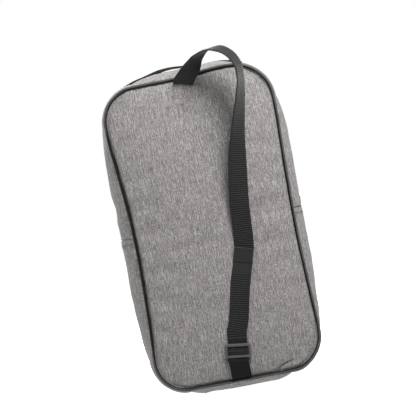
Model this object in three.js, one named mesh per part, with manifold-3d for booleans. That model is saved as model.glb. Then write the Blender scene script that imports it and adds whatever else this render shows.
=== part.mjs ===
// Golf shoe bag of melange polyester, standing upright on its flat base.
// Millimetres, +Z up. The origin is the centre of the base. The back panel, with the
// shoulder strap, faces -Y; the front panel, whose upper half opens as a flap, faces +Y.

import * as THREE from 'three';
import { mergeVertices } from 'three/addons/utils/BufferGeometryUtils.js';
import Module from 'manifold-3d';

const wasm = await Module();
wasm.setup();

// ---- the bag's body ----
const CENTRE_Z = 208.5;          // middle of both panels
const SEAM_HALF_WIDTH = 107;     // panel seam line, at its widest
const SEAM_HALF_HEIGHT = 194;
const WAIST = 5.5;               // how far the sides pull in at mid-height
const CORNER_RADIUS = 41;
const HALF_DEPTH = 56;           // from the bag's middle to either panel seam
const CROWN = 11;                // how far each stuffed panel stands proud of its seam
const BULGE_SIDE = 17;           // how far the gusset swells past the seams
const BULGE_TOP = 15;
const BULGE_BASE = 18;
const BULGE_CORNER = 7;
const SWELL_POWER = 2.5;         // the gusset's section, flat in the middle and round at the seams
const GUSSET_EDGE = 53;          // the gusset fabric starts just inside the piping
const SPLIT_Z = 213;             // cross seams, zip ends and the flap's fold

// ---- layers ----
const FABRIC = 1.2;
const GAP = 0.3;
const FOAM = 3;
const LINING = 0.8;
const PANEL_INSET = 3;           // panel edges stop short of the piping's centre
const PIPING_RADIUS = 2.5;
const BINDING_INSET = 6;
const BINDING_DEPTH = 48;
const BINDING_HALF = 1.6;

// ---- zip ----
const ZIP_Y = 30;
const ZIP_WINDOW_HALF = 6;       // bare tape on each side of the teeth
const TAPE_OUTER = -2.0;
const TAPE_INNER = -2.6;
const TAPE_HALF = 13;
const TEETH_TOP = 0.8;
const TEETH_FOOT = -1.7;
const TEETH_WIDTH = 2;
const TEETH_GAP = 1.2;           // from the zip's middle to each row
const ZIP_FRONT_START = 231;     // the flap's half of the zip starts above the slider
const SLIDER_Z = 223;
const SLIDER_TRAVEL = 75;        // the straight stretch of the zip up the right side
const SLIDER_HALF_WIDTH = 4.8;
const SLIDER_HALF_LENGTH = 6.5;
const PULL_PIVOT = 3;            // the pull's crossbar stands this far off the teeth
const PULL_LENGTH = 30;

// ---- webbing and buckle ----
const WEBBING_WIDTH = 25;
const WEBBING = 1.4;
const HANDLE_WEBBING = 1.6;
const HANDLE_Y = -2;
const BUCKLE_ORIGIN = [1.1, -62.5, 34.9];   // centre of the bar that the anchor loop holds
const BUCKLE_LEAN = 7.5;         // degrees, turned towards the strap
const BUCKLE_PITCH = 11;         // degrees, its top stands off the panel
const BUCKLE_HALF_WIDTH = 17;
const BUCKLE_WINDOW_HALF = 14;
const BUCKLE_BARS = [0, 6.8, 13.6, 21.3];
const BAR_HALF = 1.2;
const WRAP_RADIUS = 2.7;
const WRAP_STEPS = 6;

// ---- resolution ----
const COLUMNS = 8;
const CORNER_STEPS = 5;
const SIDE_STEPS = 4;
const END_STEPS = 3;

const SIDE_HALF = SEAM_HALF_HEIGHT - CORNER_RADIUS;
const END_HALF = SEAM_HALF_WIDTH - CORNER_RADIUS;
const ZIP_LEAN = (BULGE_SIDE * SWELL_POWER * (ZIP_Y / HALF_DEPTH) ** (SWELL_POWER - 1)) / HALF_DEPTH;
const radians = THREE.MathUtils.degToRad;

const bag = new THREE.Group();

function material(color, roughness, metalness = 0) {
  return new THREE.MeshStandardMaterial({ color, roughness, metalness });
}

function add(parent, name, geometry, surface) {
  const mesh = new THREE.Mesh(geometry, surface);
  mesh.name = name;
  parent.add(mesh);
  return mesh;
}

const melange = () => material(0x96918f, 0.9);
const lining = () => material(0x3a3b3e, 0.8);
const foam = () => material(0xd9d7d0, 1.0);
const blackTrim = () => material(0x2a2a2c, 0.6);
const webbing = () => material(0x333335, 0.75);
const zipTape = () => material(0x1f1f21, 0.9);
const zipTeeth = () => material(0x29292b, 0.4);
const zipMetal = () => material(0x55565a, 0.35, 0.8);
const buckleResin = () => material(0x4b4b4e, 0.45);

// ---- solids from rings ----

// Signed volume of a triangle list, so that every solid can face outwards.
function signedVolume(points, index) {
  let sum = 0;
  const cross = new THREE.Vector3();
  for (let i = 0; i < index.length; i += 3) {
    const [a, b, c] = [points[index[i]], points[index[i + 1]], points[index[i + 2]]];
    sum += a.dot(cross.crossVectors(b, c));
  }
  return sum;
}

// A closed solid through rings of equally many points. A ring is an outer row followed by
// an inner row that runs back, so that a capped end is a strip between the two. Both rows
// are cut into triangles along the same diagonals, so nested layers never cross.
function loft(rings, closed = false) {
  const size = rings[0].length;
  const points = rings.flat();
  const index = [];
  const quad = (a, b, c, d) => index.push(a, b, c, a, c, d);
  const mirroredQuad = (a, b, c, d) => index.push(a, b, d, b, c, d);
  const spans = closed ? rings.length : rings.length - 1;
  for (let i = 0; i < spans; i += 1) {
    const here = i * size;
    const next = ((i + 1) % rings.length) * size;
    for (let k = 0; k < size; k += 1) {
      const l = (k + 1) % size;
      const face = k < size / 2 ? quad : mirroredQuad;
      face(here + k, here + l, next + l, next + k);
    }
  }
  if (!closed) {
    const last = (rings.length - 1) * size;
    for (let k = 0; k < size / 2 - 1; k += 1) {
      const m = size - 1 - k;
      quad(k, m, m - 1, k + 1);
      quad(last + k, last + k + 1, last + m - 1, last + m);
    }
  }
  if (signedVolume(points, index) < 0) index.reverse();
  const geometry = new THREE.BufferGeometry();
  geometry.setFromPoints(points);
  geometry.setIndex(index);
  geometry.computeVertexNormals();
  return geometry;
}

// ---- the seam line round each panel ----

function sideHalfWidth(z) {
  const turn = (Math.PI * (z - CENTRE_Z)) / (2 * SIDE_HALF);
  return SEAM_HALF_WIDTH - WAIST * Math.cos(turn) ** 2;
}

function swell(share, most) {
  return BULGE_CORNER + (most - BULGE_CORNER) * (1 - share ** 4);
}

// A station is a point of the seam line, its outward normal and the gusset's swell there.
function sideStation(z) {
  const slope = ((WAIST * Math.PI) / (2 * SIDE_HALF)) * Math.sin((Math.PI * (z - CENTRE_Z)) / SIDE_HALF);
  const length = Math.hypot(1, slope);
  const bulge = swell((z - CENTRE_Z) / SIDE_HALF, BULGE_SIDE);
  return { x: sideHalfWidth(z), z, nx: 1 / length, nz: -slope / length, bulge };
}

function cornerStation(angle, up) {
  const nx = Math.cos(angle);
  const nz = up * Math.sin(angle);
  const x = END_HALF + CORNER_RADIUS * nx;
  const z = CENTRE_Z + up * SIDE_HALF + CORNER_RADIUS * nz;
  return { x, z, nx, nz, bulge: BULGE_CORNER };
}

function endStation(x, up) {
  const bulge = swell(x / END_HALF, up > 0 ? BULGE_TOP : BULGE_BASE);
  return { x, z: CENTRE_Z + up * SEAM_HALF_HEIGHT, nx: 0, nz: up, bulge };
}

const steps = (count, from = 0) => Array.from({ length: count + 1 - from }, (_, i) => (i + from) / count);

// From the right side at height z, over the top (up = 1) or under the base (up = -1), to the left.
function halfLoop(up, z) {
  const sideEnd = CENTRE_Z + up * SIDE_HALF;
  const right = [
    ...steps(SIDE_STEPS).map((t) => sideStation(z + (sideEnd - z) * t)),
    ...steps(CORNER_STEPS, 1).map((t) => cornerStation((Math.PI / 2) * t, up)),
    ...steps(END_STEPS, 1).map((t) => endStation(END_HALF * (1 - t), up)),
  ];
  const left = right.slice(0, -1).reverse().map((s) => ({ ...s, x: -s.x, nx: -s.nx }));
  return [...right, ...left];
}

function fullLoop() {
  const top = halfLoop(1, CENTRE_Z);
  const base = halfLoop(-1, CENTRE_Z).reverse();
  return [...top, ...base.slice(1, -1)];
}

// ---- gusset pieces: a section of [y, height above the fabric] swept along stations ----

function swellShare(y) {
  return 1 - Math.abs(y / HALF_DEPTH) ** SWELL_POWER;
}

function gussetPoint(station, y, height) {
  const out = station.bulge * swellShare(y) + height;
  const z = Math.max(station.z + station.nz * out, -height);
  return new THREE.Vector3(station.x + station.nx * out, y, z);
}

function sweep(stations, section) {
  return loft(stations.map((s) => section.map(([y, height]) => gussetPoint(s, y, height))));
}

function shell(rows, top, thickness) {
  const outer = rows.map((y) => [y, top]);
  const inner = rows.map((y) => [y, top - thickness]).reverse();
  return [...outer, ...inner];
}

// A cord of round or square section along the seam line, inset from it, at depth y.
function seamCord(stations, inset, y, radius, sides, closed = false) {
  const rings = stations.map((s) => steps(sides).slice(0, -1).map((t) => {
    const angle = 2 * Math.PI * t;
    const out = radius * Math.cos(angle) - inset;
    return new THREE.Vector3(s.x + s.nx * out, y + radius * Math.sin(angle), s.z + s.nz * out);
  }));
  return loft(rings, closed);
}

// ---- panel layers: a crowned sheet between two heights ----

function panelHalfWidth(z) {
  const past = Math.abs(z - CENTRE_Z) - SIDE_HALF;
  if (past <= 0) return sideHalfWidth(z) - PANEL_INSET;
  const radius = CORNER_RADIUS - PANEL_INSET;
  return END_HALF + Math.sqrt(Math.max(radius ** 2 - past ** 2, 0));
}

function panelRows(from, to) {
  const radius = CORNER_RADIUS - PANEL_INSET;
  const corner = steps(CORNER_STEPS, 1).map((t) => SIDE_HALF + radius * Math.sin((Math.PI / 2) * t));
  const side = steps(SIDE_STEPS).map((t) => SIDE_HALF * t);
  const above = [...side, ...corner].map((d) => CENTRE_Z + d);
  const below = [...side.slice(1), ...corner].map((d) => CENTRE_Z - d).reverse();
  const clearance = 6;
  const kept = [...below, ...above].filter((z) => z > from + clearance && z < to - clearance);
  return [from, ...kept, to];
}

function crown(across, z) {
  const along = Math.min(Math.abs(z - CENTRE_Z) / (SEAM_HALF_HEIGHT - PANEL_INSET), 1);
  return CROWN * (1 - Math.abs(across) ** 2.4) * (1 - along ** 2.6);
}

function panel(side, from, to, depth, thickness) {
  const across = steps(COLUMNS).map((t) => 2 * t - 1);
  const rings = panelRows(from, to).map((z) => {
    const at = (u, below) => {
      const y = side * (HALF_DEPTH + crown(u, z) - below);
      return new THREE.Vector3(u * panelHalfWidth(z), y, z);
    };
    const outer = across.map((u) => at(u, depth));
    const inner = across.map((u) => at(u, depth + thickness)).reverse();
    return [...outer, ...inner];
  });
  return loft(rings);
}

function layeredPanel(name, side, from, to) {
  const foamDepth = FABRIC + GAP;
  const liningDepth = foamDepth + FOAM + GAP;
  add(bag, name, panel(side, from, to, 0, FABRIC), melange());
  add(bag, `${name}_foam`, panel(side, from, to, foamDepth, FOAM), foam());
  add(bag, `${name}_lining`, panel(side, from, to, liningDepth, LINING), lining());
}

function panels() {
  const top = CENTRE_Z + SEAM_HALF_HEIGHT - PANEL_INSET;
  const base = CENTRE_Z - SEAM_HALF_HEIGHT + PANEL_INSET;
  layeredPanel('back_panel', -1, base, top);
  layeredPanel('front_panel_lower', 1, base, SPLIT_Z - GAP);
  layeredPanel('front_panel_flap', 1, SPLIT_Z + GAP, top);
}

function gussets() {
  const lower = halfLoop(-1, SPLIT_Z - GAP);
  const upper = halfLoop(1, SPLIT_Z + GAP);
  const allRows = [-GUSSET_EDGE, -44, -34, -22, -8, 8, 22, 34, 44, GUSSET_EDGE];
  const backEdge = ZIP_Y - ZIP_WINDOW_HALF;
  const frontEdge = ZIP_Y + ZIP_WINDOW_HALF;
  const backRows = [-GUSSET_EDGE, -44, -34, -22, -8, 8, ZIP_Y - TAPE_HALF - 2, backEdge];
  const frontRows = [frontEdge, 44, GUSSET_EDGE];
  const inside = -FABRIC - GAP;
  add(bag, 'lower_gusset', sweep(lower, shell(allRows, 0, FABRIC)), melange());
  add(bag, 'lower_gusset_lining', sweep(lower, shell(allRows, inside, LINING)), lining());
  add(bag, 'upper_gusset_back', sweep(upper, shell(backRows, 0, FABRIC)), melange());
  const liningRows = backRows.slice(0, -1);
  add(bag, 'upper_gusset_back_lining', sweep(upper, shell(liningRows, inside, LINING)), lining());
  add(bag, 'upper_gusset_front', sweep(upper, shell(frontRows, 0, FABRIC)), melange());
}

function edging() {
  const lower = halfLoop(-1, SPLIT_Z - GAP);
  const upper = halfLoop(1, SPLIT_Z + GAP);
  const piping = (stations, side, closed) => seamCord(stations, 0, side * HALF_DEPTH, PIPING_RADIUS, 8, closed);
  const binding = (stations, side, closed) => (
    seamCord(stations, BINDING_INSET, side * BINDING_DEPTH, BINDING_HALF, 4, closed)
  );
  add(bag, 'back_piping', piping(fullLoop(), -1, true), blackTrim());
  add(bag, 'front_piping_lower', piping(lower, 1), blackTrim());
  add(bag, 'front_piping_flap', piping(upper, 1), blackTrim());
  add(bag, 'back_seam_binding', binding(fullLoop(), -1, true), blackTrim());
  add(bag, 'front_seam_binding_lower', binding(lower, 1), blackTrim());
  add(bag, 'front_seam_binding_flap', binding(upper, 1), blackTrim());
}

// ---- zip: two tapes, two rows of teeth, slider and pull ----

// The zip's two halves mirror each other, and its cut between them leans with the gusset.
function zipSection(side, from, to, top, foot) {
  const at = (reach, height) => [ZIP_Y + side * reach + ZIP_LEAN * (height - TEETH_TOP), height];
  return [at(from, top), at(to, top), at(to, foot), at(from, foot)];
}

function zipHalf(name, side, start) {
  const path = halfLoop(1, start);
  const tape = zipSection(side, TEETH_GAP, TAPE_HALF, TAPE_OUTER, TAPE_INNER);
  const teeth = zipSection(side, TEETH_GAP, TEETH_GAP + TEETH_WIDTH, TEETH_TOP, TEETH_FOOT);
  add(bag, `zip_tape_${name}`, sweep(path, tape), zipTape());
  add(bag, `zip_teeth_${name}`, sweep(path, teeth), zipTeeth());
}

// ---- boxes and their unions ----

function box(x, y, z) {
  const geometry = new THREE.BoxGeometry(x[1] - x[0], y[1] - y[0], z[1] - z[0]);
  return geometry.translate((x[0] + x[1]) / 2, (y[0] + y[1]) / 2, (z[0] + z[1]) / 2);
}

function solid(geometry) {
  const bare = geometry.clone();
  bare.deleteAttribute('normal');
  bare.deleteAttribute('uv');
  const merged = mergeVertices(bare);
  const vertProperties = Float32Array.from(merged.attributes.position.array);
  const triVerts = Uint32Array.from(merged.index.array);
  return new wasm.Manifold(new wasm.Mesh({ numProp: 3, vertProperties, triVerts }));
}

function union(geometries) {
  const mesh = geometries.map(solid).reduce((whole, piece) => whole.add(piece)).getMesh();
  const geometry = new THREE.BufferGeometry();
  geometry.setAttribute('position', new THREE.BufferAttribute(mesh.vertProperties, 3));
  geometry.setIndex(new THREE.BufferAttribute(mesh.triVerts, 1));
  geometry.computeVertexNormals();
  return geometry;
}

// ---- slider and pull, in the slider's frame: +X out of the bag, +Z along the zip ----

function sliderBody() {
  const w = SLIDER_HALF_WIDTH;
  const l = SLIDER_HALF_LENGTH;
  const cheek = 0.9;
  const plate = [0.5, 1.7];
  const backPlate = [-5.6, -4.5];
  const cheekFoot = -1.7;
  const arch = 0.8;
  const archEnd = 4.8;
  const archLeg = 1.2;
  const archTop = [4.3, 5.3];
  return union([
    box(plate, [-w, w], [-l, l]),
    box([cheekFoot, plate[1]], [-w, cheek - w], [-l, l]),
    box([cheekFoot, plate[1]], [w - cheek, w], [-l, l]),
    box([backPlate[0] + 0.5, plate[0] + 0.2], [-0.35, 0.35], [-l, -3]),
    box(backPlate, [-w, w], [-l, l]),
    box(archTop, [-arch, arch], [-archEnd, archEnd]),
    box([plate[1] - 0.2, archTop[1]], [-arch, arch], [-archEnd, archLeg - archEnd]),
    box([plate[1] - 0.2, archTop[1]], [-arch, arch], [archEnd - archLeg, archEnd]),
  ]);
}

// The pull hangs from its crossbar: a flat tongue with a window that clears the slider's arch.
function pullTab() {
  const half = 4;
  const bar = 0.8;
  const tongue = new THREE.Shape();
  tongue.moveTo(-half, bar);
  tongue.lineTo(-half, half - PULL_LENGTH);
  tongue.absarc(0, half - PULL_LENGTH, half, Math.PI, 2 * Math.PI);
  tongue.lineTo(half, bar);
  const window = new THREE.Path();
  window.moveTo(-2.2, -bar);
  window.lineTo(2.2, -bar);
  window.lineTo(2.2, -6.2);
  window.lineTo(-2.2, -6.2);
  tongue.holes.push(window);
  const geometry = new THREE.ExtrudeGeometry(tongue, { depth: 2 * bar, bevelEnabled: false, curveSegments: 8 });
  return geometry.translate(0, 0, -bar).rotateX(Math.PI / 2).rotateZ(Math.PI / 2);
}

function zip() {
  zipHalf('back', -1, SPLIT_Z + GAP);
  zipHalf('front', 1, ZIP_FRONT_START);
  const start = gussetPoint(sideStation(SLIDER_Z), ZIP_Y, TEETH_TOP);
  const end = gussetPoint(sideStation(SLIDER_Z + SLIDER_TRAVEL), ZIP_Y, TEETH_TOP);
  const seat = new THREE.Group();
  seat.position.copy(start);
  seat.rotation.order = 'YXZ';
  seat.rotation.y = Math.atan2(end.x - start.x, end.z - start.z);
  seat.rotation.z = Math.atan(ZIP_LEAN);
  bag.add(seat);
  add(seat, 'zip_slider', sliderBody(), zipMetal());
  add(seat, 'zip_pull_tab', pullTab(), zipMetal()).position.x = PULL_PIVOT;
}

// ---- webbing: a flat ribbon along a route of [point, width direction] ----

function ribbon(route, width, thickness, stepsPerSpan) {
  const centres = new THREE.CatmullRomCurve3(route.map(([at]) => at), false, 'centripetal');
  const sides = new THREE.CatmullRomCurve3(route.map(([, across]) => across), false, 'centripetal');
  const rings = steps((route.length - 1) * stepsPerSpan).map((t) => {
    const at = centres.getPoint(t);
    const along = centres.getTangent(t);
    const across = sides.getPoint(t);
    across.addScaledVector(along, -across.dot(along)).setLength(width / 2);
    const out = new THREE.Vector3().crossVectors(along, across).setLength(thickness / 2);
    const corner = (u, v) => at.clone().addScaledVector(across, u).addScaledVector(out, v);
    return [corner(-1, 1), corner(1, 1), corner(1, -1), corner(-1, -1)];
  });
  return loft(rings);
}

const point = (x, y, z) => new THREE.Vector3(x, y, z);
const RIGHT = point(1, 0, 0);
const DEEP = point(0, 1, 0);

function carryHandle() {
  const half = [[81, 408.6], [74, 410.6], [66, 411.6], [58, 414.6], [50, 417.8], [40, 420.7], [28, 422.9], [14, 424]];
  const right = half.map(([x, z]) => [point(x, HANDLE_Y, z), DEEP]);
  const left = half.map(([x, z]) => [point(-x, HANDLE_Y, z), DEEP]).reverse();
  const route = [...left, [point(0, HANDLE_Y, 424.4), DEEP], ...right];
  add(bag, 'carry_handle', ribbon(route, WEBBING_WIDTH, HANDLE_WEBBING, 2), webbing());
}

// ---- buckle: bars across, its length up the strap, held at its lowest bar ----

const buckleFrame = new THREE.Group();
buckleFrame.position.set(...BUCKLE_ORIGIN);
buckleFrame.rotation.order = 'YXZ';
buckleFrame.rotation.y = radians(BUCKLE_LEAN);
buckleFrame.rotation.x = radians(BUCKLE_PITCH);
buckleFrame.updateMatrix();
bag.add(buckleFrame);

// A point of the bag from its place on the buckle: depth towards the panel, length up the strap.
const onBuckle = (depth, length) => point(0, depth, length).applyMatrix4(buckleFrame.matrix);
const buckleRight = RIGHT.clone().transformDirection(buckleFrame.matrix);

function buckleBody() {
  const [low, high] = [BUCKLE_BARS[0] - BAR_HALF, BUCKLE_BARS.at(-1) + BAR_HALF];
  const round = 3;
  const [w, inner] = [BUCKLE_HALF_WIDTH, BUCKLE_WINDOW_HALF];
  const plate = new THREE.Shape();
  plate.absarc(w - round, high - round, round, 0, Math.PI / 2);
  plate.absarc(round - w, high - round, round, Math.PI / 2, Math.PI);
  plate.absarc(round - w, low + round, round, Math.PI, 1.5 * Math.PI);
  plate.absarc(w - round, low + round, round, 1.5 * Math.PI, 2 * Math.PI);
  BUCKLE_BARS.slice(1).forEach((bar, i) => {
    const [from, to] = [BUCKLE_BARS[i] + BAR_HALF, bar - BAR_HALF];
    const slot = new THREE.Path();
    slot.moveTo(-inner, from);
    slot.lineTo(-inner, to);
    slot.lineTo(inner, to);
    slot.lineTo(inner, from);
    plate.holes.push(slot);
  });
  const geometry = new THREE.ExtrudeGeometry(plate, { depth: 2 * BAR_HALF, bevelEnabled: false, curveSegments: 4 });
  return geometry.translate(0, 0, -BAR_HALF).rotateX(Math.PI / 2);
}

// Half a turn round a bar, from the panel side to the outside, under it (-1) or over it (1).
function wrap(bar, over) {
  return steps(WRAP_STEPS).map((t) => [
    WRAP_RADIUS * Math.cos(Math.PI * t),
    bar + over * WRAP_RADIUS * Math.sin(Math.PI * t),
  ]);
}

function buckle() {
  add(buckleFrame, 'strap_buckle', buckleBody(), buckleResin());
  const legs = [
    [4.7, 30], [4.7, 25], [4.6, 20.5], [3.6, 17],
    ...wrap(BUCKLE_BARS[2], -1),
    [-2.5, 15.4], [0, 17.6], [2.6, 20.2], [2.8, 23], [2.8, 30],
  ];
  const route = legs.map(([depth, length]) => [point(0, depth, length), RIGHT]);
  add(buckleFrame, 'strap_fold', ribbon(route, WEBBING_WIDTH, WEBBING, 1), webbing());
}

function anchorLoop() {
  const route = [
    [point(1.5, -58.2, 18.4), RIGHT],
    [point(1.4, -58.9, 26), RIGHT],
    ...wrap(BUCKLE_BARS[0], 1).map(([depth, length]) => [onBuckle(depth, length), buckleRight]),
    [point(1.4, -63, 26), RIGHT],
    [point(1.5, -60.3, 18.4), RIGHT],
  ];
  add(bag, 'strap_anchor_loop', ribbon(route, WEBBING_WIDTH, WEBBING, 1), webbing());
}

// The strap leaves the top seam, folds up, half-twists through a standing loop, and comes
// down across the back panel to the buckle. Each row: x, y, z, then the width's direction.
const STRAP_ROUTE = [
  [-1.1, -57.7, 398.8, 1, 0, 0],
  [-1.1, -58.3, 397.2, 0.98, 0, -0.17],
  [-1.1, -60.2, 395.6, 0.94, 0, -0.34],
  [-0.9, -62.2, 397.4, 0.94, 0, -0.34],
  [2.5, -65.5, 401.4, 0.94, 0.1, -0.33],
  [12.7, -73.5, 412.3, 0.64, 0.54, -0.55],
  [22.7, -80.5, 424.3, 0.27, 0.91, -0.32],
  [35.5, -86.5, 431.1, 0, 1, 0],
  [51.0, -91.0, 429.6, 0.14, 0.92, 0.36],
  [63.7, -94.0, 419.9, 0.35, 0.89, 0.29],
  [70.9, -95.0, 405.5, 0.43, 0.9, 0.11],
  [71.5, -94.0, 389.2, 0.38, 0.92, -0.03],
  [68.7, -92.0, 373.9, 0.43, 0.9, -0.09],
  [65.5, -89.5, 360.7, 0.49, 0.86, -0.13],
  [61.0, -87.0, 344.6, 0.59, 0.79, -0.16],
  [53.4, -82.5, 314.2, 0.75, 0.64, -0.18],
  [49.6, -80.5, 296.9, 0.88, 0.46, -0.16],
  [43.3, -77.5, 258.3, 0.97, 0.2, -0.15],
  [39.5, -75.5, 229.4, 0.99, 0, -0.11],
  [38.3, -73.0, 211.6, 1, 0, -0.08],
  [35.5, -69.2, 178.5, 0.99, 0, -0.15],
  [30.1, -67.6, 158.9, 0.96, 0, -0.28],
  [21.5, -67.0, 130.8, 0.97, 0, -0.26],
  [11.0, -65.1, 87.4, 0.97, 0, -0.23],
];

function shoulderStrap() {
  const route = STRAP_ROUTE.map(([x, y, z, a, b, c]) => [point(x, y, z), point(a, b, c)]);
  route.push([onBuckle(5.3, 38), buckleRight], [onBuckle(4.7, 31), buckleRight]);
  add(bag, 'shoulder_strap', ribbon(route, WEBBING_WIDTH, WEBBING, 2), webbing());
}

// The spare end lies on the strap, from the buckle up to its hem.
function strapTail() {
  const lift = point(0, -1.8, 0);
  const lying = STRAP_ROUTE.slice(-3).reverse();
  const route = [
    [onBuckle(2.8, 31), buckleRight],
    [onBuckle(3.5, 38), buckleRight],
    ...lying.map(([x, y, z, a, b, c]) => [point(x, y, z).add(lift), point(a, b, c)]),
    [point(35, -71.1, 176.5), point(0.99, 0, -0.15)],
  ];
  add(bag, 'strap_tail', ribbon(route, WEBBING_WIDTH, WEBBING, 2), webbing());
}

panels();
gussets();
edging();
zip();
carryHandle();
buckle();
anchorLoop();
shoulderStrap();
strapTail();

export default bag;
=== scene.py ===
"""Golf shoe bag of heather-grey melange fabric, seen from behind.

Shapes are worked out in millimetres, as in the CAD part, and become meshes in metres.
Surface textures use each piece's "weave" UV map: metres across the yarn, then along it.
"""

import math

import bpy
import numpy as np
from mathutils import Matrix, Vector


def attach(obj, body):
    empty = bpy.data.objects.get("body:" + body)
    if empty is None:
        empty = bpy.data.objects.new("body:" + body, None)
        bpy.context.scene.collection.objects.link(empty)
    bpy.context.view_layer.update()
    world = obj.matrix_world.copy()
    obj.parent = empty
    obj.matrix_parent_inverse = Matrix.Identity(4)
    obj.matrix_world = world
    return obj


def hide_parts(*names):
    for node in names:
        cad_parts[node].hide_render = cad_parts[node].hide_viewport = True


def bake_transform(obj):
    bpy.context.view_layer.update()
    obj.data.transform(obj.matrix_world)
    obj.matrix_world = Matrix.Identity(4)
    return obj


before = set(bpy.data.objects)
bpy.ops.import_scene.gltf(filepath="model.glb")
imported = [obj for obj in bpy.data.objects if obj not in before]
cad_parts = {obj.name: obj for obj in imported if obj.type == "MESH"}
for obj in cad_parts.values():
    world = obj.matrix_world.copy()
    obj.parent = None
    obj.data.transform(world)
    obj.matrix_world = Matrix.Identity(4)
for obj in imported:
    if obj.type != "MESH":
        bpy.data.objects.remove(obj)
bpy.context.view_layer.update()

MM = 0.001

# ---- the bag's body, as in the CAD part ----
CENTRE_Z = 208.5
SEAM_HALF_WIDTH = 107.0
SEAM_HALF_HEIGHT = 194.0
WAIST = 5.5
CORNER_RADIUS = 41.0
HALF_DEPTH = 56.0
CROWN = 11.0
BULGE_SIDE, BULGE_TOP, BULGE_BASE, BULGE_CORNER = 17.0, 15.0, 18.0, 7.0
SWELL_POWER = 2.5
SPLIT_Z = 213.0
FABRIC = 1.2
PAD = 4.5                 # fabric and foam together
LINING_DEPTH = 4.8
LINING = 0.8
SIDE_HALF = SEAM_HALF_HEIGHT - CORNER_RADIUS
END_HALF = SEAM_HALF_WIDTH - CORNER_RADIUS
PERIMETER = 4 * (SIDE_HALF + END_HALF + CORNER_RADIUS * math.pi / 2)
ZIP_Y = 30.0
ZIP_LEAN = BULGE_SIDE * SWELL_POWER * (ZIP_Y / HALF_DEPTH) ** (SWELL_POWER - 1) / HALF_DEPTH

# ---- webbing ----
WEB_HALF = 12.5
WEB_THICK = 1.4
RIB_PITCH = 2.8
REVERSE_AT = 40.0         # where the reverse lies on the weave map, clear of the face

# ---- how the soft bag has settled, in millimetres: a place, then how far it has moved ----
# The back's half width and its middle, by height.
WIDER = [
    (0, 0), (60, -0.5), (100, -1.3), (140, -0.4), (200, 1.0),
    (240, 1.4), (300, 1.2), (345, 2.1), (378, 0.9), (410, 0.4),
]
ASIDE = [(0, 0.8), (40, 1.5), (70, 2.9), (100, 3.2), (240, 3.0), (300, 1.5), (340, 0.3), (410, -0.4)]
# The height of the back's top and base, from left to right.
BACK_TOP = [
    (-110, 0.4), (-80, 0.6), (-55, 1.4), (-12, 1.2), (20, 3.8),
    (40, 5.8), (55, 6.3), (80, 3.8), (110, 0.8),
]
BACK_BASE = [(-110, -1.6), (-60, -2.6), (0, -2.9), (60, -3.6), (84, -2.0), (110, -0.4)]
# The height of the strip over the top and under the base, from left to right.
TOP = [(-110, 0), (20, 0), (32, 0.4), (45, 1.9), (60, 3.4), (75, 3.0), (90, 1.5), (110, 0)]
BASE = [
    (-110, -1.0), (-88, -2.9), (-73, -5.0), (-61, -2.3), (-50, 1.4), (-36, 0.5),
    (-24, 0), (45, 0), (60, -1.8), (72, -3.2), (88, -2.4), (110, -1.0),
]

# ---- two bodies, and where the fabric between them starts and stops bending ----
FOLD = ("bag", "flap", (0, 0.056, 0.222), (0, 0.056, 0.274))
BUCKLE_BEND = ("bag", "buckle", (0.016, -0.066, 0.110), (0.004, -0.066, 0.062))

# ---- numbers ----


def unit(v):
    return v / np.linalg.norm(v, axis=-1, keepdims=True)


def ease(t):
    t = np.clip(t, 0, 1)
    return t * t * (3 - 2 * t)


def hump(t):
    """A smooth bump, 1 at nought and gone by about 2."""
    return np.exp(-(t**2))


def soft_noise(u, v, seed):
    """Smooth noise from -1 to 1, about one bump per unit, repeating every 64 units."""
    grid = np.random.default_rng(seed).uniform(-1, 1, (64, 64))
    u, v = np.broadcast_arrays(np.asarray(u, float), np.asarray(v, float))
    iu, iv = np.floor(u).astype(int), np.floor(v).astype(int)
    fu, fv = ease(u - iu), ease(v - iv)
    low = grid[iu % 64, iv % 64] * (1 - fu) + grid[(iu + 1) % 64, iv % 64] * fu
    high = grid[iu % 64, (iv + 1) % 64] * (1 - fu) + grid[(iu + 1) % 64, (iv + 1) % 64] * fu
    return low * (1 - fv) + high * fv


def eased_table(rows, at):
    """Values of a table of place and amount, with no corner at its rows."""
    rows = np.array(rows, float)
    spread = np.linspace(-12, 12, 7)
    return sum(np.interp(at + d, rows[:, 0], rows[:, 1]) for d in spread) / len(spread)


def settled(points):
    """The bag's shell as it has settled: its back lies to the right, its upper right stands full."""
    x, y, z = points.T
    near = np.clip(-y / HALF_DEPTH, 0, 1.15) ** 1.4
    high, low = ease((z - 290) / 100), ease((120 - z) / 100)
    hollow = hump((z - 100) / 38)
    back_x = x / SEAM_HALF_WIDTH * eased_table(WIDER, z) + eased_table(ASIDE, z)
    back_z = high * eased_table(BACK_TOP, x) + low * eased_table(BACK_BASE, x)
    swell_x = -x / 118 * (3.3 * hollow + 0.5 * ease((z - 40) / 60) * ease((200 - z) / 20))
    swell_z = high * eased_table(TOP, x) + low * eased_table(BASE, x)
    dent = 0.9 * ease((z - 235) / 15) * ease((365 - z) / 20) + 1.1 * hump((z - 257) / 8)
    swell_x = swell_x + dent * ease(-x / 60)
    under = 2.3 * low * hump((y + 31) / 15) * ease((72 - np.abs(x)) / 12)
    moved_x = near * back_x + (1 - np.minimum(near, 1)) * swell_x
    moved_z = near * back_z + (1 - np.minimum(near, 1)) * swell_z + under
    return np.stack([x + moved_x, y, np.maximum(z + moved_z, np.minimum(z, 0))], 1)


def run_length(points):
    """Distance along a row of points, from its first."""
    return np.r_[0, np.cumsum(np.linalg.norm(np.diff(points, axis=0), axis=1))]


def rows_at(at, s, rows):
    """Rows of a table, taken at places between those that s gives for its own."""
    return np.stack([np.interp(at, s, column) for column in rows.T], axis=1)


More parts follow.
